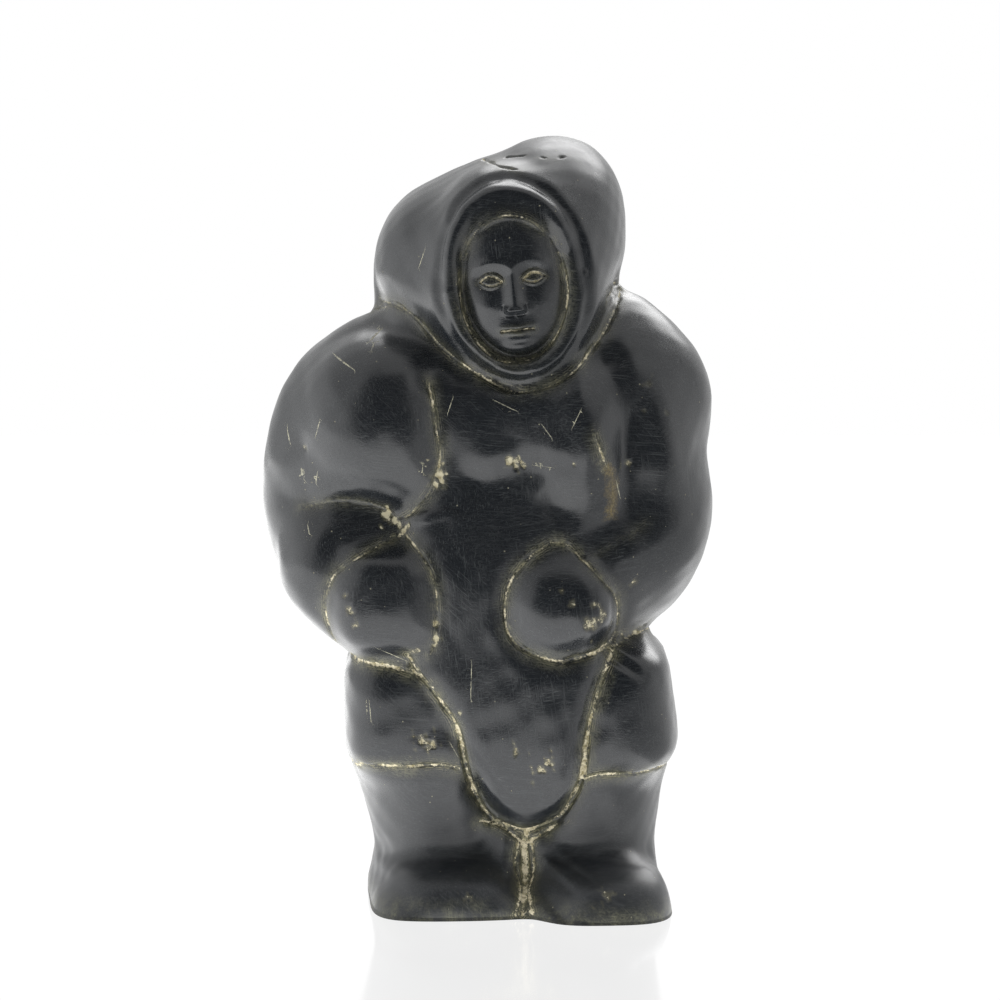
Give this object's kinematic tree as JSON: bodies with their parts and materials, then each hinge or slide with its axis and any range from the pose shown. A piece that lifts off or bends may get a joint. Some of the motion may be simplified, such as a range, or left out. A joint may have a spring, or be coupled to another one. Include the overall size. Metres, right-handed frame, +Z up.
{
  "type": "standing woman stone carving",
  "caption": "Small stone carving of a standing woman in a hooded parka, mittens and boots, cut from one block of polished dark stone, for a shelf or a display case.",
  "frame": {"origin": "On the flat underside, midway between the feet.", "axes": "+Z up along the height, the woman faces -Y, her left hand side is +X."},
  "size_m": [0.081, 0.0599, 0.137],
  "materials": {
    "polished_stone": "Dark serpentine, polished and waxed to near black with a soft gloss. Gouged seams, chips and fine sanding scratches show paler olive to cream stone."
  },
  "bodies": {
    "root": {"carving": "polished_stone"}
  },
  "joints": []
}
